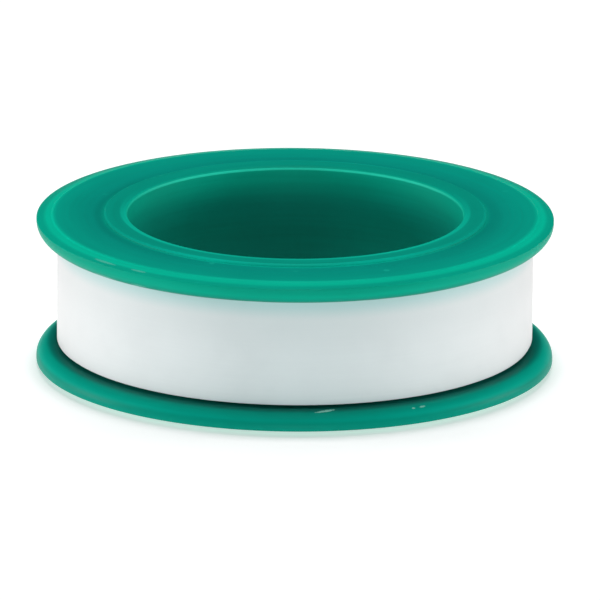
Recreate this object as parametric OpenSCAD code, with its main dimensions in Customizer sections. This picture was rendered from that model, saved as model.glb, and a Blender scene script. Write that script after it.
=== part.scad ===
// Thread seal tape roll: a hub with two flanges pressed onto its ends, and the tape wound on the hub.
// The roll lies flat, with its axis along Z and the lower end of the hub on the ground at the origin.

/* [Flanges] */
// Outside diameter of both flanges
flange_d = 60; // [50:1:72]
// Width of a flange, from the end of the hub in its hole to its edge
flange_w = 8; // [7:0.1:10]
// Height of a flange, from the end of the hub to the face beside the tape
flange_h = 2.8; // [2.4:0.1:3.6]
// How far the outer face of a flange lies below the end of the hub
face_sink = 0.3; // [0.25:0.05:0.5]
// Width of the sloped border round the outer face
border_w = 1.9; // [1:0.1:3]
// Fall of the border from the outer face to the edge
border_fall = 0.4; // [0.25:0.05:0.8]
// Width of the small step where the border starts
step_w = 0.2; // [0.1:0.05:0.4]
// Fall of the small step where the border starts
step_fall = 0.12; // [0.04:0.02:0.2]
// Height of the narrow upright land at the widest edge
rim_land = 0.3; // [0.05:0.05:0.5]
// Width of the rounding of the rim on the side of the tape
round_w = 2.2; // [1.5:0.1:4]

/* [Hub] */
// Wall of the hub's ends, from the bore to the flange, which shows as a ring round the bore
end_wall = 2.5; // [1.6:0.1:3.2]
// Width of the shoulder that a flange is pushed against
shoulder_w = 0.8; // [0.3:0.05:1]
// Overhang of the snap lip that keeps a flange on the hub
lip_w = 0.2; // [0.1:0.02:0.3]
// Bevel along the outer edge of the snap lip, over which a flange is pushed on
lip_bevel = 0.22; // [0.04:0.02:0.24]
// Width of the rounding at each mouth of the bore
mouth_w = 0.35; // [0.1:0.05:0.8]
// Depth of the rounding at each mouth of the bore
mouth_h = 0.4; // [0.1:0.05:2]

/* [Tape] */
// Width of the tape
tape_w = 12; // [9:0.5:19]
// Thickness of the tape
tape_t = 0.075; // [0.05:0.005:0.1]
// Length of the tape on the roll
tape_len = 10000; // [4000:500:12000]
// Length of the loose end
end_len = 25; // [12:1:40]
// How far the tip of the loose end stands off the roll
end_lift = 1.2; // [0.4:0.1:1.6]
// Direction of the line where the loose end leaves the roll, from +X
peel_at = 65; // [0:5:355]

/* [Clearances] */
// Between a flange's hole and the end of the hub
press_gap = 0.03; // [0.01:0.01:0.06]
// Between each edge of the tape and the flange beside it
edge_gap = 0.35; // [0.1:0.05:1]
// Between the hub and the innermost turn
wind_gap = 0.05; // [0.02:0.01:0.1]
// Between the wound pack and the outer turn that runs round it
lay_gap = 0.05; // [0.02:0.01:0.1]
// Under the loose end where it leaves the roll
end_gap = 0.08; // [0.05:0.01:0.2]
// Along the tape on both sides of the loose end's root, to the end and to the start of the outer turn
peel_gap = 0.3; // [0.25:0.05:0.6]

/* [Hidden] */
$fn = 180;

// Steps of the curves that are made of points
round_steps = 14;
mouth_steps = 6;
end_steps = 30;
turn_step = 2;

// Colours
plastic_green = [0.05, 0.55, 0.48];
tape_white = [0.93, 0.94, 0.94];

// Radii of the spool
flange_r = flange_d / 2;
spigot_r = flange_r - flange_w;
bore_r = spigot_r - end_wall;
hub_r = spigot_r + shoulder_w;
lip_r = spigot_r + lip_w;
hole_r = spigot_r + press_gap;

// Heights, from the ground up
tape_z = flange_h + edge_gap;
roll_h = 2 * tape_z + tape_w;

// The border starts in a small step, inside the edge of the flange
border_r = flange_r - border_w;

// The rounding of the rim takes the height that the border and the land leave
round_h = flange_h - face_sink - border_fall - rim_land;

// The winding: the tape's side area decides how far out it reaches
core_r = hub_r + wind_gap;
pack_r = sqrt(core_r * core_r + tape_len * tape_t / PI);
end_turn = end_len / pack_r * 180 / PI;
peel_turn = peel_gap / pack_r * 180 / PI;
turn_from = peel_turn - end_turn;
turn_to = 360 - end_turn - peel_turn;

function polar(r, a) = [r * cos(a), r * sin(a)];
function oval(centre, radii, from, to, steps) =
    [for (i = [0:steps]) let (a = from + (to - from) * i / steps)
        centre + [radii.x * cos(a), radii.y * sin(a)]];
function backwards(points) = [for (i = [len(points) - 1:-1:0]) points[i]];
function upper_copy(points) = [for (p = backwards(points)) [p.x, roll_h - p.y]];

// The tape lies in one spiral that grows by its thickness in each turn. The angle along it is counted
// from the point under the tip of the loose end. The outer turn starts under the root of the loose end.
function spiral_r(turn) = pack_r - tape_t + tape_t * turn / 360;
function spiral_at(turn) = peel_at + end_turn + peel_turn + turn;
function spiral_point(turn, out) = polar(spiral_r(turn) + out, spiral_at(turn));
function outer_turn(out) = concat(
    [for (turn = [turn_from:turn_step:turn_to - turn_step / 2]) spiral_point(turn, out)],
    [spiral_point(turn_to, out)]
);

// The loose end leaves the spiral and stands off more and more towards its tip
end_curl = 1.6;
function end_rise(part) = end_gap + end_lift * pow(part, end_curl);
function loose_end(out) =
    [for (i = [0:end_steps]) let (part = i / end_steps, turn = 360 - end_turn * (1 - part))
        polar(spiral_r(turn) + end_rise(part) + out, spiral_at(turn))];

// Least gap of the outer turn to itself, on points at least a quarter turn apart along it
turn_points = outer_turn(tape_t / 2);
last_point = len(turn_points) - 1;
quarter = ceil(90 / turn_step);
turn_gap = min([for (i = [0:last_point - quarter], j = [i + quarter:last_point])
    norm(turn_points[i] - turn_points[j])]) - tape_t;
echo(outer_turn_least_gap_mm = turn_gap);
echo(roll_height_mm = roll_h, tape_d_mm = 2 * pack_r, bore_d_mm = 2 * bore_r);

// Lower end of the hub's section, from the bore round to the shoulder
hub_end = concat(
    oval([bore_r + mouth_w, mouth_h], [mouth_w, mouth_h], 180, 270, mouth_steps),
    [
        [lip_r - lip_bevel, 0],
        [lip_r, lip_bevel],
        [lip_r, face_sink],
        [spigot_r, face_sink],
        [spigot_r, flange_h],
        [hub_r, flange_h]
    ]
);

// Section of the lower flange: its outer face, the step, the sloped border, the land and the rounded rim
flange_section = concat(
    [
        [hole_r, flange_h],
        [hole_r, face_sink],
        [border_r, face_sink],
        [border_r + step_w, face_sink + step_fall],
        [flange_r, face_sink + border_fall]
    ],
    oval([flange_r - round_w, flange_h - round_h], [round_w, round_h], 0, 90, round_steps)
);

module flange() {
    color(plastic_green) rotate_extrude() polygon(flange_section);
}

module strip(inside, outside) {
    color(tape_white)
        translate([0, 0, tape_z])
            linear_extrude(height = tape_w) polygon(concat(outside, backwards(inside)));
}

module hub() {
    color(plastic_green) rotate_extrude() polygon(concat(hub_end, upper_copy(hub_end)));
}

module lower_flange() {
    flange();
}

module upper_flange() {
    translate([0, 0, roll_h]) mirror([0, 0, 1]) flange();
}

module tape_pack() {
    color(tape_white)
        translate([0, 0, tape_z])
            rotate_extrude()
                translate([core_r, 0]) square([spiral_r(turn_from) - lay_gap - core_r, tape_w]);
}

module tape_outer_turn() {
    strip(outer_turn(0), outer_turn(tape_t));
}

module tape_end() {
    strip(loose_end(0), loose_end(tape_t));
}

hub();
lower_flange();
upper_flange();
tape_pack();
tape_outer_turn();
tape_end();
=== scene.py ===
import math

import bmesh
import bpy
from mathutils import Matrix, Vector


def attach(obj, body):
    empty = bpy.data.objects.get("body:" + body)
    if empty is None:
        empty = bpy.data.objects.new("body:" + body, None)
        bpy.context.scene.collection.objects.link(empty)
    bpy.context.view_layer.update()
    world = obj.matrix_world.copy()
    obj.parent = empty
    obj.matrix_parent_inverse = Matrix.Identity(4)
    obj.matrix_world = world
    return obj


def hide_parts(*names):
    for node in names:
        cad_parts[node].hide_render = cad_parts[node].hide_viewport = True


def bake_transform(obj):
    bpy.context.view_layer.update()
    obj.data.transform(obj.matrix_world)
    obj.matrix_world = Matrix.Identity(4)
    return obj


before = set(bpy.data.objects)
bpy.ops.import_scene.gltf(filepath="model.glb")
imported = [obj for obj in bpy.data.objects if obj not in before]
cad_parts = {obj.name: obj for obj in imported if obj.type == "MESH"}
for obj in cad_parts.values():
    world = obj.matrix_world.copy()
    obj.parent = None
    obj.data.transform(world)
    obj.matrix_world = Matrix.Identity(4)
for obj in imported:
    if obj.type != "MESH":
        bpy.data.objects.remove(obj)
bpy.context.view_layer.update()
mm = 0.001
print("frame loaded:", ", ".join(sorted(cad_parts)))


# camera, standing where the photo was taken from
photoView = {
    "elevation": 16.25,       # degrees above the floor
    "distance": 1.55,         # metres
    "lens": 801,
    "roll": 0.38,             # degrees, right side lower
    "aside": 0.61 * mm,       # the picture's centre, seen from the roll's centre
    "below": 1.47 * mm,
    "rollCentre": 9.15 * mm,
    "sensor": 36,
    "near": 0.01, "far": 20.0,
}


def placeCamera(view):
    up = math.radians(view["elevation"])
    tip = Matrix.Rotation(math.pi / 2 - up, 4, "X")
    turn = tip @ Matrix.Rotation(math.radians(view["roll"]), 4, "Z")
    offset = turn.to_3x3() @ Vector((view["aside"], -view["below"], view["distance"]))
    place = Vector((0, 0, view["rollCentre"])) + offset
    bpy.ops.object.camera_add(location=place, rotation=turn.to_euler())
    camera = bpy.context.object
    camera.name = "photoCamera"
    camera.data.lens = view["lens"]
    camera.data.sensor_width = view["sensor"]
    camera.data.clip_start = view["near"]
    camera.data.clip_end = view["far"]
    bpy.context.scene.camera = camera


placeCamera(photoView)
print("camera placed")


# tools for turning and shaping
weldGap = 0.002 * mm      # points closer than this are one point
ringReach = 0.01 * mm     # how near to a ring its points lie


def clearSelection():
    bpy.ops.object.select_all(action="DESELECT")


def startAt(name, x, z):
    clearSelection()
    bpy.ops.mesh.primitive_plane_add(size=mm, location=(0, 0, 0))
    piece = bpy.context.object
    piece.name = piece.data.name = name
    bpy.ops.object.mode_set(mode="EDIT")
    bpy.ops.mesh.select_mode(type="VERT")
    bpy.ops.mesh.select_all(action="SELECT")
    bpy.ops.mesh.merge(type="CENTER")
    bpy.ops.transform.translate(value=(x * mm, 0, z * mm))
    return piece


def drawSection(name, points):
    piece = startAt(name, *points[0])
    for (x0, z0), (x1, z1) in zip(points, points[1:] + points[:1]):
        step = ((x1 - x0) * mm, 0, (z1 - z0) * mm)
        bpy.ops.mesh.extrude_region_move(TRANSFORM_OT_translate={"value": step})
    bpy.ops.mesh.select_all(action="SELECT")
    bpy.ops.mesh.remove_doubles(threshold=weldGap)
    return piece


def turnSection(name, points, steps):
    piece = drawSection(name, points)
    bpy.ops.mesh.spin(steps=steps, angle=2 * math.pi, center=(0, 0, 0), axis=(0, 0, 1))
    bpy.ops.mesh.select_all(action="SELECT")
    bpy.ops.mesh.remove_doubles(threshold=weldGap)
    bpy.ops.mesh.normals_make_consistent(inside=False)
    return piece


def softenRing(piece, radius, height, width, segments):
    bpy.ops.mesh.select_mode(type="EDGE")
    bpy.ops.mesh.select_all(action="DESELECT")
    shape = bmesh.from_edit_mesh(piece.data)

    def onRing(vertex):
        off = math.hypot(vertex.co.x, vertex.co.y) - radius * mm
        return abs(off) < ringReach and abs(vertex.co.z - height * mm) < ringReach

    for edge in shape.edges:
        if all(onRing(v) for v in edge.verts):
            edge.select = True
    bmesh.update_edit_mesh(piece.data)
    bpy.ops.mesh.bevel(offset=width * mm, segments=segments, affect="EDGES", clamp_overlap=True)


smoothAngle = 35          # degrees, edges sharper than this stay crisp


def finishShape(piece):
    bpy.ops.object.mode_set(mode="OBJECT")
    clearSelection()
    piece.select_set(True)
    bpy.context.view_layer.objects.active = piece
    bpy.ops.object.shade_smooth_by_angle(angle=math.radians(smoothAngle))
    piece.select_set(False)


def arcPoints(centre, radii, start, end, steps):
    points = []
    for i in range(steps + 1):
        a = math.radians(start + (end - start) * i / steps)
        points.append((centre[0] + radii[0] * math.cos(a), centre[1] + radii[1] * math.sin(a)))
    return points


rollHeight = 18.3         # millimetres, as all sizes of the pieces below
spoolSteps = 256          # faces round the hub and the flanges


def turnOver(points):
    return [(x, rollHeight - z) for x, z in reversed(points)]


# hub: tube with an open bore, shoulders, and a snap lip at each end
hubShape = {
    "bore": 19.5, "mouthWidth": 0.35, "mouthHeight": 0.4, "mouthSteps": 10,
    "lip": 22.2, "lipBevel": 0.22, "spigot": 22.0, "shoulder": 22.8,
    "faceSink": 0.3, "flangeHeight": 2.8,
    "lipSoft": 0.03, "lipSegments": 2,
}


def makeHub(s):
    mouth = arcPoints((s["bore"] + s["mouthWidth"], s["mouthHeight"]),
                      (s["mouthWidth"], s["mouthHeight"]), 180, 270, s["mouthSteps"])
    lowerEnd = mouth + [
        (s["lip"] - s["lipBevel"], 0),
        (s["lip"], s["lipBevel"]),
        (s["lip"], s["faceSink"]),
        (s["spigot"], s["faceSink"]),
        (s["spigot"], s["flangeHeight"]),
        (s["shoulder"], s["flangeHeight"]),
    ]
    hub = turnSection("hubTube", lowerEnd + turnOver(lowerEnd), spoolSteps)
    for z in (0, rollHeight):
        softenRing(hub, s["lip"] - s["lipBevel"], z, s["lipSoft"], s["lipSegments"])
    for z in (s["lipBevel"], rollHeight - s["lipBevel"]):
        softenRing(hub, s["lip"], z, s["lipSoft"], s["lipSegments"])
    finishShape(hub)
    return hub


hubTube = makeHub(hubShape)
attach(hubTube, "spool")
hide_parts("hub")
print("hub turned,", len(hubTube.data.polygons), "faces")


# flanges: sunk face, stepped and sloped border, crisp edge, narrow land and oval rounding towards the tape
flangeShape = {
    "edge": 30.0, "hole": 22.03, "height": 2.8, "faceSink": 0.3,
    "borderWidth": 1.9, "borderFall": 0.4, "stepFall": 0.12, "stepWidth": 0.2,
    "land": 0.3, "roundWidth": 2.2, "roundSteps": 20,
    "edgeSoft": 0.05, "edgeSegments": 3,
    "holeSoft": 0.08, "holeSegments": 2,
    "stepSoft": 0.11, "stepSegments": 5,   # under half of the step's slope
}


def makeFlange(name, s, upper):
    roundHeight = s["height"] - s["faceSink"] - s["borderFall"] - s["land"]
    stepAt = s["edge"] - s["borderWidth"]
    border = [
        (stepAt, s["faceSink"]),
        (stepAt + s["stepWidth"], s["faceSink"] + s["stepFall"]),
        (s["edge"], s["faceSink"] + s["borderFall"]),
    ]
    rounding = arcPoints((s["edge"] - s["roundWidth"], s["height"] - roundHeight),
                         (s["roundWidth"], roundHeight), 0, 90, s["roundSteps"])
    section = [(s["hole"], s["height"]), (s["hole"], s["faceSink"])] + border + rounding
    if upper:
        section = turnOver(section)
    flange = turnSection(name, section, spoolSteps)
    (stepInner, stepOuter, edge), hole = border, (s["hole"], s["faceSink"])
    for (radius, z), label in ((edge, "edge"), (stepInner, "step"), (stepOuter, "step"), (hole, "hole")):
        height = rollHeight - z if upper else z
        softenRing(flange, radius, height, s[label + "Soft"], s[label + "Segments"])
    finishShape(flange)
    return flange


flangeLower = makeFlange("flangeLower", flangeShape, False)
flangeUpper = makeFlange("flangeUpper", flangeShape, True)
for flange, node in ((flangeLower, "lower_flange"), (flangeUpper, "upper_flange")):
    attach(flange, "spool")
    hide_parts(node)
print("flanges turned,", len(flangeUpper.data.polygons), "faces each")


# wound turns: groups of turns that have slipped a little along the hub
windingShape = {
    "core": 22.85, "outside": 27.448, "low": 3.15, "high": 15.15,
    "groups": 22, "steps": 192,
    "slip": 0.09,             # how far a group of turns may stand out at the ends
    "slipWave": 2.4, "slipBeat": 0.7, "slipStart": 0.4,
    "outerSlip": 0.05,        # the last groups under the outer turn stand out below
    "outerGroups": 2,
    "leastStep": 0.004,       # points nearer than this are left out
}


def makeWinding(s):
    width = (s["outside"] - s["core"]) / s["groups"]

    def slipOf(i):
        if i >= s["groups"] - s["outerGroups"]:
            return -s["outerSlip"]
        return s["slip"] * math.sin(s["slipWave"] * i) * math.cos(s["slipBeat"] * i + s["slipStart"])

    lowEnd, highEnd = [], []
    for i in range(s["groups"]):
        inner, outer = s["core"] + i * width, s["core"] + (i + 1) * width
        lowEnd += [(inner, s["low"] + slipOf(i)), (outer, s["low"] + slipOf(i))]
        highEnd += [(inner, s["high"] + slipOf(i)), (outer, s["high"] + slipOf(i))]
    section = lowEnd + list(reversed(highEnd))
    section = [p for i, p in enumerate(section) if math.dist(p, section[i - 1]) > s["leastStep"]]
    winding = turnSection("woundTurns", section, s["steps"])
    finishShape(winding)
    return winding


woundTurns = makeWinding(windingShape)
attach(woundTurns, "spool")
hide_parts("tape_pack")
print("winding turned,", len(woundTurns.data.polygons), "faces")


# film: the outer turn and the loose end lie on one spiral
filmShape = {
    "outside": 27.5836, "thickness": 0.075,
    "shown": 0.07,            # thickness of the drawn film, so that turns don't touch
    "underTip": 117.552,      # degrees, the spiral's direction under the loose end's tip
    "low": 3.15, "width": 12.0, "rows": 12,
    "slip": 0.13,             # the outer turn stands this much higher than the turns under it
    "slipSwing": 0.17, "slipMost": -40,    # and by so much more or less, most at this direction
    "from": -66.0, "split": 300.0, "to": 360.0,    # degrees along the spiral
    "turnSteps": 244, "endSteps": 60,
    "endTurn": 51.929, "rootGap": 0.08, "lift": 1.2, "curl": 1.6,
    "bend": 3.0,              # a length in millimetres
}


def spiralRadius(s, turn):
    return s["outside"] - s["thickness"] + s["thickness"] * turn / 360


def filmLift(s, turn):
    root = 360 - s["endTurn"]
    if turn <= s["split"]:
        return 0
    if turn < root:
        part = (turn - s["split"]) / (root - s["split"])
        return s["rootGap"] * part * part * (3 - 2 * part)
    return s["rootGap"] + s["lift"] * ((turn - root) / s["endTurn"]) ** s["curl"]


def filmPlace(s, turn):
    radius = spiralRadius(s, turn) + filmLift(s, turn)
    around = math.radians(s["underTip"] + turn)
    swing = math.cos(around - math.radians(s["slipMost"]))
    height = s["low"] + s["slip"] + s["slipSwing"] * swing
    return Vector((radius * math.cos(around), radius * math.sin(around), height)) * mm


def layFilm(name, s, turnFrom, turnTo, steps):
    path = [filmPlace(s, turnFrom + (turnTo - turnFrom) * i / steps) for i in range(steps + 1)]
    film = startAt(name, 0, 0)
    bpy.ops.transform.translate(value=path[0])
    for _ in range(s["rows"]):
        bpy.ops.mesh.extrude_region_move(
            TRANSFORM_OT_translate={"value": (0, 0, s["width"] * mm / s["rows"])})
    bpy.ops.mesh.select_all(action="SELECT")
    for here, there in zip(path, path[1:]):
        bpy.ops.mesh.extrude_region_move(TRANSFORM_OT_translate={"value": there - here})
    bpy.ops.mesh.select_all(action="SELECT")
    bpy.ops.mesh.normals_make_consistent(inside=False)
    bpy.ops.object.mode_set(mode="OBJECT")
    first = film.data.polygons[0]
    if first.normal.x * first.center.x + first.normal.y * first.center.y < 0:
        bpy.ops.object.mode_set(mode="EDIT")
        bpy.ops.mesh.select_all(action="SELECT")
        bpy.ops.mesh.flip_normals()
        bpy.ops.object.mode_set(mode="OBJECT")
    return film


def thickenFilm(film, s):
    wall = film.modifiers.new("wall", "SOLIDIFY")
    wall.thickness = s["shown"] * mm
    wall.offset = 1
    bpy.context.view_layer.objects.active = film
    bpy.ops.object.modifier_apply(modifier=wall.name)
    bpy.ops.object.mode_set(mode="EDIT")
    finishShape(film)


outerTurn = layFilm("outerTurn", filmShape,
                    filmShape["from"], filmShape["split"], filmShape["turnSteps"])
thickenFilm(outerTurn, filmShape)
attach(outerTurn, "outer_turn")
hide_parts("tape_outer_turn")

looseEnd = layFilm("looseEnd", filmShape,
                   filmShape["split"], filmShape["to"], filmShape["endSteps"])
thickenFilm(looseEnd, filmShape)
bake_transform(looseEnd)
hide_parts("tape_end")
print("film laid,", len(outerTurn.data.polygons), "and", len(looseEnd.data.polygons), "faces")


# shared effects
def addNode(tree, kind, **values):
    node = tree.nodes.new(kind)
    for name, value in values.items():
        setattr(node, name, value)
    return node


def feed(tree, socket, value):
    if isinstance(value, bpy.types.NodeSocket):
        tree.links.new(value, socket)
    else:
        socket.default_value = value


def calc(tree, operation, first, second=None, third=None):
    node = addNode(tree, "ShaderNodeMath", operation=operation)
    for socket, value in zip(node.inputs, (first, second, third)):
        if value is not None:
            feed(tree, socket, value)
    return node.outputs[0]


def ease(tree, value, start, end, low=0.0, high=1.0):
    node = addNode(tree, "ShaderNodeMapRange", interpolation_type="SMOOTHSTEP")
    for name, number in (("From Min", start), ("From Max", end), ("To Min", low), ("To Max", high)):
        feed(tree, node.inputs[name], number)
    feed(tree, node.inputs["Value"], value)
    return node.outputs["Result"]


mixSockets = {"first": 6, "second": 7, "result": 2}    # the Mix node's colours


def mixTone(tree, share, first, second, blend="MIX"):
    node = addNode(tree, "ShaderNodeMix", data_type="RGBA", blend_type=blend)
    feed(tree, node.inputs["Factor"], share)
    feed(tree, node.inputs[mixSockets["first"]], first)
    feed(tree, node.inputs[mixSockets["second"]], second)
    return node.outputs[mixSockets["result"]]


def newGroup(name, inputs, outputs):
    tree = bpy.data.node_groups.new(name, "ShaderNodeTree")
    for label, value in inputs:
        socket = tree.interface.new_socket(label, in_out="INPUT", socket_type="NodeSocketFloat")
        socket.default_value = value
    for label in outputs:
        tree.interface.new_socket(label, in_out="OUTPUT", socket_type="NodeSocketFloat")
    return tree, addNode(tree, "NodeGroupInput"), addNode(tree, "NodeGroupOutput")


def useGroup(tree, group, **values):
    node = addNode(tree, "ShaderNodeGroup", node_tree=group)
    for label, value in values.items():
        feed(tree, node.inputs[label], value)
    return node.outputs


# values of the shared effects
effects = {
    "streakRoughness": 0.6,
    "cloudDetail": 3.0, "grainDetail": 2.0,
    "speckCore": 0.10, "speckEdge": 0.22,
    "ovalMarkGrain": 6000.0, "ovalMarkFray": 1.6, "ovalMarkCore": 0.35,
}


# where a point lies on the roll, in millimetres and radians
def makeRollPlace():
    tree, _, out = newGroup("rollPlace", [], ["Radius", "Height", "Around", "East", "North"])
    place = addNode(tree, "ShaderNodeTexCoord").outputs["Object"]
    parts = addNode(tree, "ShaderNodeSeparateXYZ")
    tree.links.new(place, parts.inputs[0])
    x, y, z = parts.outputs
    square = calc(tree, "ADD", calc(tree, "MULTIPLY", x, x), calc(tree, "MULTIPLY", y, y))
    radius = calc(tree, "SQRT", square)
    feed(tree, out.inputs["Radius"], calc(tree, "DIVIDE", radius, mm))
    feed(tree, out.inputs["Height"], calc(tree, "DIVIDE", z, mm))
    feed(tree, out.inputs["Around"], calc(tree, "ARCTAN2", y, x))
    feed(tree, out.inputs["East"], calc(tree, "DIVIDE", x, radius))
    feed(tree, out.inputs["North"], calc(tree, "DIVIDE", y, radius))
    return tree


rollPlace = makeRollPlace()


# streaks that run round the roll: turning marks on the mould, draw lines on the film
def makeRoundStreaks():
    tree, given, out = newGroup(
        "roundStreaks",
        [("Across Radius", 2.0), ("Across Height", 2.0), ("Drift", 1.5), ("Detail", 3.0)],
        ["Streak"])
    place = useGroup(tree, rollPlace)
    vector = addNode(tree, "ShaderNodeCombineXYZ")
    feed(tree, vector.inputs[0], calc(tree, "MULTIPLY", place["East"], given.outputs["Drift"]))
    feed(tree, vector.inputs[1], calc(tree, "MULTIPLY", place["North"], given.outputs["Drift"]))
    feed(tree, vector.inputs[2], calc(tree, "MULTIPLY", place["Radius"], given.outputs["Across Radius"]))
    noise = addNode(tree, "ShaderNodeTexNoise", noise_dimensions="4D")
    feed(tree, noise.inputs["Vector"], vector.outputs[0])
    feed(tree, noise.inputs["W"], calc(tree, "MULTIPLY", place["Height"], given.outputs["Across Height"]))
    feed(tree, noise.inputs["Scale"], 1.0)
    feed(tree, noise.inputs["Detail"], given.outputs["Detail"])
    feed(tree, noise.inputs["Roughness"], effects["streakRoughness"])
    feed(tree, out.inputs["Streak"], noise.outputs[0])
    return tree


roundStreaks = makeRoundStreaks()


# cloudy tone, fine grain and scattered specks
def makeGrain():
    tree, given, out = newGroup(
        "surfaceGrain",
        [("Cloud Size", 120.0), ("Grain Size", 3000.0), ("Speck Size", 450.0), ("Speck Share", 0.06)],
        ["Cloud", "Grain", "Speck"])
    place = addNode(tree, "ShaderNodeTexCoord").outputs["Object"]
    for label, size, detail in (("Cloud", "Cloud Size", effects["cloudDetail"]),
                                ("Grain", "Grain Size", effects["grainDetail"])):
        noise = addNode(tree, "ShaderNodeTexNoise")
        feed(tree, noise.inputs["Vector"], place)
        feed(tree, noise.inputs["Scale"], given.outputs[size])
        feed(tree, noise.inputs["Detail"], detail)
        feed(tree, out.inputs[label], noise.outputs[0])
    cells = addNode(tree, "ShaderNodeTexVoronoi", feature="F1")
    feed(tree, cells.inputs["Vector"], place)
    feed(tree, cells.inputs["Scale"], given.outputs["Speck Size"])
    tint = addNode(tree, "ShaderNodeSeparateColor")
    feed(tree, tint.inputs[0], cells.outputs["Color"])
    chosen = calc(tree, "LESS_THAN", tint.outputs[0], given.outputs["Speck Share"])
    dot = ease(tree, cells.outputs["Distance"], effects["speckCore"], effects["speckEdge"], 1.0, 0.0)
    feed(tree, out.inputs["Speck"], calc(tree, "MULTIPLY", chosen, dot))
    return tree


surfaceGrain = makeGrain()


# one mark, an oval at a given direction and level: a height on the rim, a radius on the face; it shapes specks,
# pale marks and painted glints
def makeOvalMark():
    tree, given, out = newGroup(
        "ovalMark",
        [("Direction", -80.0), ("Level", 2.4), ("Half Length", 1.2), ("Half Width", 0.06),
         ("Slope", 0.0), ("On Face", 0.0), ("Strength", 1.0)],
        ["Mark"])
    place = useGroup(tree, rollPlace)
    around = calc(tree, "DEGREES", place["Around"])
    along = calc(tree, "SUBTRACT", around, given.outputs["Direction"])
    tilt = calc(tree, "MULTIPLY", along, given.outputs["Slope"])
    rise = calc(tree, "SUBTRACT", place["Radius"], place["Height"])
    across = calc(tree, "MULTIPLY_ADD", rise, given.outputs["On Face"], place["Height"])
    level = calc(tree, "SUBTRACT", calc(tree, "SUBTRACT", across, given.outputs["Level"]), tilt)
    lengthwise = calc(tree, "DIVIDE", along, given.outputs["Half Length"])
    sidewise = calc(tree, "DIVIDE", level, given.outputs["Half Width"])
    far = calc(tree, "ADD", calc(tree, "MULTIPLY", lengthwise, lengthwise),
               calc(tree, "MULTIPLY", sidewise, sidewise))
    grain = addNode(tree, "ShaderNodeTexNoise")
    feed(tree, grain.inputs["Scale"], effects["ovalMarkGrain"])
    feed(tree, grain.inputs["Vector"], addNode(tree, "ShaderNodeTexCoord").outputs["Object"])
    fray = calc(tree, "MULTIPLY", calc(tree, "SUBTRACT", grain.outputs[0], 0.5), effects["ovalMarkFray"])
    inside = ease(tree, calc(tree, "ADD", far, fray), effects["ovalMarkCore"], 1.0, 1.0, 0.0)
    mark = calc(tree, "MULTIPLY", inside, given.outputs["Strength"])
    feed(tree, out.inputs["Mark"], mark)
    return tree


ovalMark = makeOvalMark()
print("shared effects ready")


def newFinish(name):
    finish = bpy.data.materials.new(name)
    finish.use_nodes = True
    tree = finish.node_tree
    return finish, tree, tree.nodes["Principled BSDF"]


def addBump(tree, shader, s, lines, share, grain):
    uneven = calc(tree, "ADD", calc(tree, "MULTIPLY", lines, share), calc(tree, "MULTIPLY", grain, 1.0 - share))
    bump = addNode(tree, "ShaderNodeBump")
    bump.inputs["Strength"].default_value = s["bumpStrength"]
    bump.inputs["Distance"].default_value = s["bumpDepth"] * mm
    feed(tree, bump.inputs["Height"], uneven)
    tree.links.new(bump.outputs[0], shader.inputs["Normal"])


# moulded green plastic: painted light and shade (lighter rim, darker bore middle and tape side, highlight
# lines, glints), faint turning marks, pale marks and specks
greenToneAndPaintedLight = {
    "bore": (0.001, 0.188, 0.140, 1),      # painted shade: the bore darker in its middle
    # painted light: the bore's walls lighter at left and right
    "boreSidePaintedLight": (0.001, 0.300, 0.220, 1),
    "mouth": (0.001, 0.390, 0.262, 1),     # painted light: the bore lighter near its mouths
    "mouthPaintedHighlight": (0.03, 0.80, 0.56, 1),    # painted highlight: a light line at the foot of the mouth's rounding
    # painted highlight on the mouth's edge, near side
    "mouthEdgePaintedHighlight": (0.002, 0.470, 0.325, 1),
    "ring": (0.001, 0.300, 0.216, 1),
    # painted highlight: the snap lip lighter than the ring
    "lip": (0.001, 0.465, 0.335, 1),
    "faceInner": (0.001, 0.277, 0.215, 1),
    "faceOuter": (0.001, 0.336, 0.244, 1),
    "stepPaintedHighlight": (0.001, 0.490, 0.322, 1),      # painted highlight: a light strip on the step where the border starts
    "border": (0.001, 0.365, 0.250, 1),
    # pale marks, and the painted glints on the upper rim's edge
    "paleMarkAndGlint": (0.40, 0.86, 0.72, 1),
    "speck": (0.01, 0.47, 0.34, 1),        # faint light marks on the face
    # each tone gives way to the next between these distances from the axis
    "radii": {
        "mouthEdgePaintedHighlight": (19.62, 19.70), "ring": (20.15, 20.45), "lip": (21.75, 22.0),
        "faceInner": (22.25, 22.75), "faceOuter": (22.4, 28.0), "stepPaintedHighlight": (27.6, 28.3), "border": (28.8, 29.4),
        "beyondHub": (22.9, 23.0), "specks": (20.0, 24.0), "smoother": (27.9, 28.6),
    },
    # and between these distances from the middle of the roll's height
    "depths": {
        "mouth": (4.2, 9.3), "lineFoot": (8.62, 8.76), "lineTop": (8.90, 9.02),
        "rim": (7.15, 7.7), "outerFace": (8.41, 8.47),
    },
    # painted light that differs round the roll: where, as a share of the way east or north, and how strongly
    "boreTurn": {"shift": 0.1, "from": 0.1, "to": 0.85, "share": 0.75},
    "lipTurn": {"from": 0.4, "to": 0.95, "share": 0.85},
    "lineTurn": {"from": 0.2, "to": 1.0, "least": 0.35},
    "edgeTurn": {"from": -0.4, "to": 0.5},
    "streaks": {"Across Radius": 1.5, "Across Height": 1.8, "Drift": 1.3},
    "marks": 0.14,                         # strength of the turning marks
    "cloud": 0.12,
    "speckShare": 0.2,
    "faceRoughness": 0.5, "borderRoughness": 0.42, "unevenGloss": 0.25,
    "specular": 0.035,
    "bumpStreak": 0.8, "bumpStrength": 0.25, "bumpDepth": 0.02,
}
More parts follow.
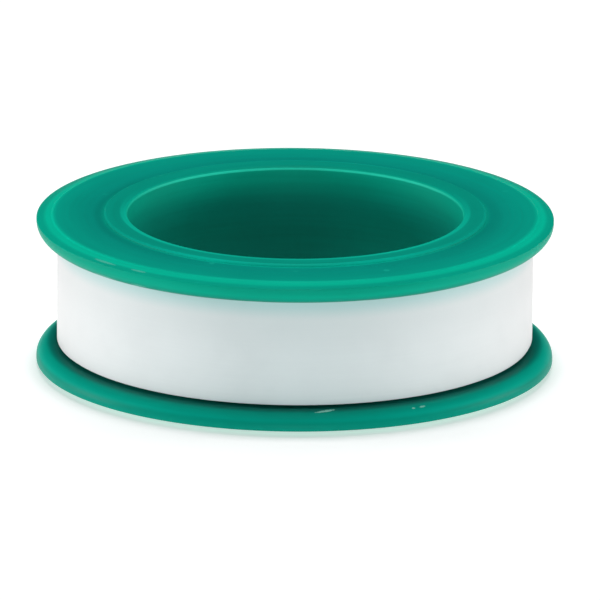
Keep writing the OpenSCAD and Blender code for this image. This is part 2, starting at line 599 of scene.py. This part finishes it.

# what differs between the upper and the lower flange: lit and shaded copies of one green, with painted light
# and shade on the rim, the rounding and next to the tape, and each flange's own specks and marks
upperLitCopy = {
    "name": "greenPlastic",
    # painted light: the upper rim lighter, as if lit through the plastic from above
    "rim": (0.001, 0.360, 0.236, 1),
    "rounding": (0.001, 0.360, 0.236, 1),
    "beside": (0.001, 0.250, 0.175, 1),    # painted shade, darker towards the tape
    "fade": (6.5, 7.6),                    # from the painted shade next to the tape to the rounding
    "specks": [
        {"Direction": -114.5, "Level": 22.9, "Half Length": 0.95, "Half Width": 0.4,
         "On Face": 1.0, "Strength": 0.5},
        {"Direction": -65.7, "Level": 25.5, "Half Length": 0.9, "Half Width": 0.5,
         "On Face": 1.0, "Strength": 0.5},
    ],
    # painted glints: light dashes along the rim's crisp edge at the front left
    "paleMarkAndGlints": [
        {"Direction": -138.0, "Level": 29.3, "Half Length": 4.0, "Half Width": 0.25,
         "On Face": 1.0, "Strength": 0.16},
        {"Direction": -127.5, "Level": 29.3, "Half Length": 2.5, "Half Width": 0.22,
         "On Face": 1.0, "Strength": 0.16},
    ],
}
lowerShadedCopy = {
    "name": "greenPlasticShadedCopy",
    # painted shade: the lower rim darker, shaded by the upper flange
    "rim": (0.001, 0.300, 0.214, 1),
    # painted light: a lighter crest on the rounding
    "rounding": (0.001, 0.415, 0.300, 1),
    # painted shade next to the tape
    "beside": (0.001, 0.190, 0.146, 1),
    "fade": (6.35, 6.62),
    "specks": [],
    # pale marks on the rounding next to the tape
    "paleMarkAndGlints": [
        {"Direction": -82.8, "Level": 2.68, "Half Length": 2.6, "Half Width": 0.07,
         "Slope": 0.03, "Strength": 0.95},
        {"Direction": -62.1, "Level": 2.35, "Half Length": 0.5, "Half Width": 0.08,
         "Slope": 0.01, "Strength": 0.6},
        {"Direction": -59.8, "Level": 2.38, "Half Length": 0.9, "Half Width": 0.08,
         "Slope": 0.01, "Strength": 0.6},
    ],
}


def boreTone(tree, s, place, depth):
    # painted light on the bore's left and right walls
    turn = s["boreTurn"]
    aside = calc(tree, "ABSOLUTE", calc(tree, "ADD", place["East"], turn["shift"]))
    side = ease(tree, aside, turn["from"], turn["to"], 0.0, turn["share"])
    tone = mixTone(tree, side, s["bore"], s["boreSidePaintedLight"])
    # painted shade deep in the bore, painted light towards its mouths
    tone = mixTone(tree, ease(tree, depth, *s["depths"]["mouth"]), tone, s["mouth"])
    # painted highlight along the foot of the mouth's rounding, strongest on the far side
    turn = s["lineTurn"]
    line = calc(tree, "MULTIPLY", ease(tree, depth, *s["depths"]["lineFoot"]),
                ease(tree, depth, *s["depths"]["lineTop"], 1.0, 0.0))
    far = ease(tree, place["North"], turn["from"], turn["to"], turn["least"], 1.0)
    return mixTone(tree, calc(tree, "MULTIPLY", line, far), tone, s["mouthPaintedHighlight"])


def faceTone(tree, s, place, tone):
    # painted highlight at the mouth's edge on the near side, giving way to the ring's tone on the far side
    turn = s["edgeTurn"]
    edge = mixTone(tree, ease(tree, place["North"], turn["from"], turn["to"]), s["mouthEdgePaintedHighlight"], s["ring"])
    # painted highlight on the lip, fading into the ring's tone at left and right
    turn = s["lipTurn"]
    aside = calc(tree, "ABSOLUTE", place["East"])
    lip = mixTone(tree, ease(tree, aside, turn["from"], turn["to"], 0.0, turn["share"]), s["lip"], s["ring"])
    for label, after in (("mouthEdgePaintedHighlight", edge), ("ring", s["ring"]), ("lip", lip), ("faceInner", s["faceInner"]),
                        ("faceOuter", s["faceOuter"]), ("stepPaintedHighlight", s["stepPaintedHighlight"]), ("border", s["border"])):
        tone = mixTone(tree, ease(tree, place["Radius"], *s["radii"][label]), tone, after)
    return tone


def makeGreen(s, own):
    finish, tree, shader = newFinish(own["name"])
    place = useGroup(tree, rollPlace)
    radius = place["Radius"]
    streak = useGroup(tree, roundStreaks, **s["streaks"])["Streak"]
    grain = useGroup(tree, surfaceGrain)
    depth = calc(tree, "ABSOLUTE", calc(tree, "SUBTRACT", place["Height"], rollHeight / 2))
    tone = faceTone(tree, s, place, boreTone(tree, s, place, depth))

    # painted light and shade on the rim and the side towards the tape
    inner = mixTone(tree, ease(tree, depth, *own["fade"]), own["beside"], own["rounding"])
    inner = mixTone(tree, ease(tree, depth, *s["depths"]["rim"]), inner, own["rim"])
    innerSide = calc(tree, "MULTIPLY", ease(tree, depth, *s["depths"]["outerFace"], 1.0, 0.0),
                     ease(tree, radius, *s["radii"]["beyondHub"]))
    tone = mixTone(tree, innerSide, tone, inner)

    # turning marks, cloudy tone, specks, pale marks and painted glints
    change = calc(tree, "ADD", 1.0 - s["marks"], calc(tree, "MULTIPLY", streak, 2 * s["marks"]))
    cloud = calc(tree, "ADD", 1.0 - s["cloud"] / 2, calc(tree, "MULTIPLY", grain["Cloud"], s["cloud"]))
    both = calc(tree, "MULTIPLY", change, cloud)
    shade = addNode(tree, "ShaderNodeCombineColor")
    for channel in shade.inputs[:3]:
        feed(tree, channel, both)
    tone = mixTone(tree, 1.0, tone, shade.outputs[0], "MULTIPLY")
    onFace = ease(tree, radius, *s["radii"]["specks"], 0.0, s["speckShare"])
    light = calc(tree, "MULTIPLY", grain["Speck"], onFace)
    for values in own["specks"]:
        light = calc(tree, "MAXIMUM", light, useGroup(tree, ovalMark, **values)["Mark"])
    tone = mixTone(tree, light, tone, s["speck"])
    for values in own["paleMarkAndGlints"]:
        tone = mixTone(tree, useGroup(tree, ovalMark, **values)["Mark"], tone, s["paleMarkAndGlint"])
    tree.links.new(tone, shader.inputs["Base Color"])

    rough = ease(tree, radius, *s["radii"]["smoother"], s["faceRoughness"], s["borderRoughness"])
    gloss = calc(tree, "MULTIPLY", calc(tree, "SUBTRACT", streak, 0.5), s["unevenGloss"])
    tree.links.new(calc(tree, "ADD", rough, gloss), shader.inputs["Roughness"])
    shader.inputs["Specular IOR Level"].default_value = s["specular"]
    addBump(tree, shader, s, streak, s["bumpStreak"], grain["Grain"])
    return finish


greenLitCopy = makeGreen(greenToneAndPaintedLight, upperLitCopy)
greenShadedCopy = makeGreen(greenToneAndPaintedLight, lowerShadedCopy)


# white film: satin, with faint draw lines along it, painted shade greying it towards its upper edge and a
# painted green reflection of the flange along that edge
filmToneAndPaintedShade = {
    "tone": (0.845, 0.83, 0.83, 1),
    # darker grey for the draw lines and the cloud, and for the painted shade
    "shadow": (0.71, 0.70, 0.70, 1),
    "tint": (0.49, 0.645, 0.635, 1),       # painted reflection: the upper edge greened by the flange above it
    "drawLines": {"Across Radius": 0.0, "Across Height": 3.5, "Drift": 2.2},
    "grain": {"Cloud Size": 160.0, "Grain Size": 2600.0},
    "lines": 0.08, "lineSpan": (0.30, 0.75),
    "cloud": 0.25, "cloudSpan": (0.40, 0.80),
    # painted shade, greying the film towards its upper edge
    "shade": 0.62, "shadeHeights": (7.5, 14.5),
    "tintHeights": (13.0, 15.3),
    "tintNorth": (0.1, 0.7),               # the painted reflection ends between these shares of the way north
    "roughness": 0.42, "unevenGloss": 0.2,
    "specular": 0.35,
    "bumpLine": 0.7, "bumpStrength": 0.2, "bumpDepth": 0.02,
}


def makeWhite(name, s):
    finish, tree, shader = newFinish(name)
    place = useGroup(tree, rollPlace)
    height = place["Height"]
    line = useGroup(tree, roundStreaks, **s["drawLines"])["Streak"]
    grain = useGroup(tree, surfaceGrain, **s["grain"])
    tone = mixTone(tree, ease(tree, line, *s["lineSpan"], s["lines"], 0.0), s["tone"], s["shadow"])
    tone = mixTone(tree, ease(tree, grain["Cloud"], *s["cloudSpan"], 0.0, s["cloud"]), tone, s["shadow"])
    # painted shade towards the upper edge, then the painted green reflection along it, fading towards the back
    tone = mixTone(tree, ease(tree, height, *s["shadeHeights"], 0.0, s["shade"]), tone, s["shadow"])
    front = ease(tree, place["North"], *s["tintNorth"], 1.0, 0.0)
    greened = calc(tree, "MULTIPLY", ease(tree, height, *s["tintHeights"]), front)
    tone = mixTone(tree, greened, tone, s["tint"])
    tree.links.new(tone, shader.inputs["Base Color"])
    gloss = calc(tree, "MULTIPLY", line, s["unevenGloss"])
    rough = calc(tree, "ADD", s["roughness"] - s["unevenGloss"] / 2, gloss)
    tree.links.new(rough, shader.inputs["Roughness"])
    shader.inputs["Specular IOR Level"].default_value = s["specular"]
    addBump(tree, shader, s, line, s["bumpLine"], grain["Grain"])
    return finish


whiteFilm = makeWhite("whiteFilm", filmToneAndPaintedShade)


def dress(piece, finish):
    piece.data.materials.clear()
    piece.data.materials.append(finish)


for piece, finish in ((hubTube, greenLitCopy), (flangeUpper, greenLitCopy), (flangeLower, greenShadedCopy),
                      (woundTurns, whiteFilm), (outerTurn, whiteFilm), (looseEnd, whiteFilm)):
    dress(piece, finish)
print("finishes applied")


# floor and light
studio = {
    "floor": 8.0, "floorTone": (0.66, 0.66, 0.66, 1), "floorGlow": 0.5,
    "floorRoughness": 0.9, "floorSpecular": 0.1, "floorParts": 4,
    "world": 0.02,
    "lights": [
        {"name": "leftStrip", "power": 9.0, "size": (0.4, 0.38),
         "azimuth": -100, "elevation": 8.4, "distance": 1.3},
        {"name": "rightStrip", "power": 7.6, "size": (0.4, 0.38),
         "azimuth": 100, "elevation": 8.4, "distance": 1.3},
        {"name": "overheadSoftbox", "power": 5.9, "size": (0.25, 0.25),
         "azimuth": 0, "elevation": 90, "distance": 1.2},
        {"name": "backSoftbox", "power": 3.7, "size": (0.6, 0.6),
         "azimuth": 180, "elevation": 62, "distance": 1.0, "gloss": False},
        {"name": "frontFill", "power": 4.9, "size": (0.4, 0.29),
         "azimuth": 0, "elevation": 6.4, "distance": 1.3, "colour": (0.66, 0.97, 1.0)},
    ],
}


def makeStudio(s):
    clearSelection()
    bpy.ops.mesh.primitive_grid_add(x_subdivisions=s["floorParts"], y_subdivisions=s["floorParts"],
                                    size=s["floor"], location=(0, 0, 0))
    floor = bpy.context.object
    floor.name = "paleFloor"
    finish, _, shader = newFinish("paleFloor")
    shader.inputs["Base Color"].default_value = s["floorTone"]
    shader.inputs["Emission Color"].default_value = (1, 1, 1, 1)
    shader.inputs["Emission Strength"].default_value = s["floorGlow"]
    shader.inputs["Roughness"].default_value = s["floorRoughness"]
    shader.inputs["Specular IOR Level"].default_value = s["floorSpecular"]
    dress(floor, finish)
    world = bpy.data.worlds.new("studioWorld")
    world.use_nodes = True
    background = world.node_tree.nodes["Background"]
    background.inputs["Color"].default_value = (1, 1, 1, 1)
    background.inputs["Strength"].default_value = s["world"]
    bpy.context.scene.world = world
    for light in s["lights"]:
        around, up = math.radians(light["azimuth"]), math.radians(light["elevation"])
        level = math.cos(up)
        place = Vector((math.sin(around) * level, -math.cos(around) * level, math.sin(up)))
        aim = (-place).to_track_quat("-Z", "Y").to_euler()
        bpy.ops.object.light_add(type="AREA", location=place * light["distance"], rotation=aim)
        lamp = bpy.context.object
        lamp.name = light["name"]
        lamp.data.shape = "RECTANGLE"
        lamp.data.size, lamp.data.size_y = light["size"]
        lamp.data.energy = light["power"]
        lamp.data.color = light.get("colour", (1, 1, 1))
        lamp.visible_glossy = light.get("gloss", True)


makeStudio(studio)
bpy.context.scene.view_settings.view_transform = "Standard"
print("floor and light placed")
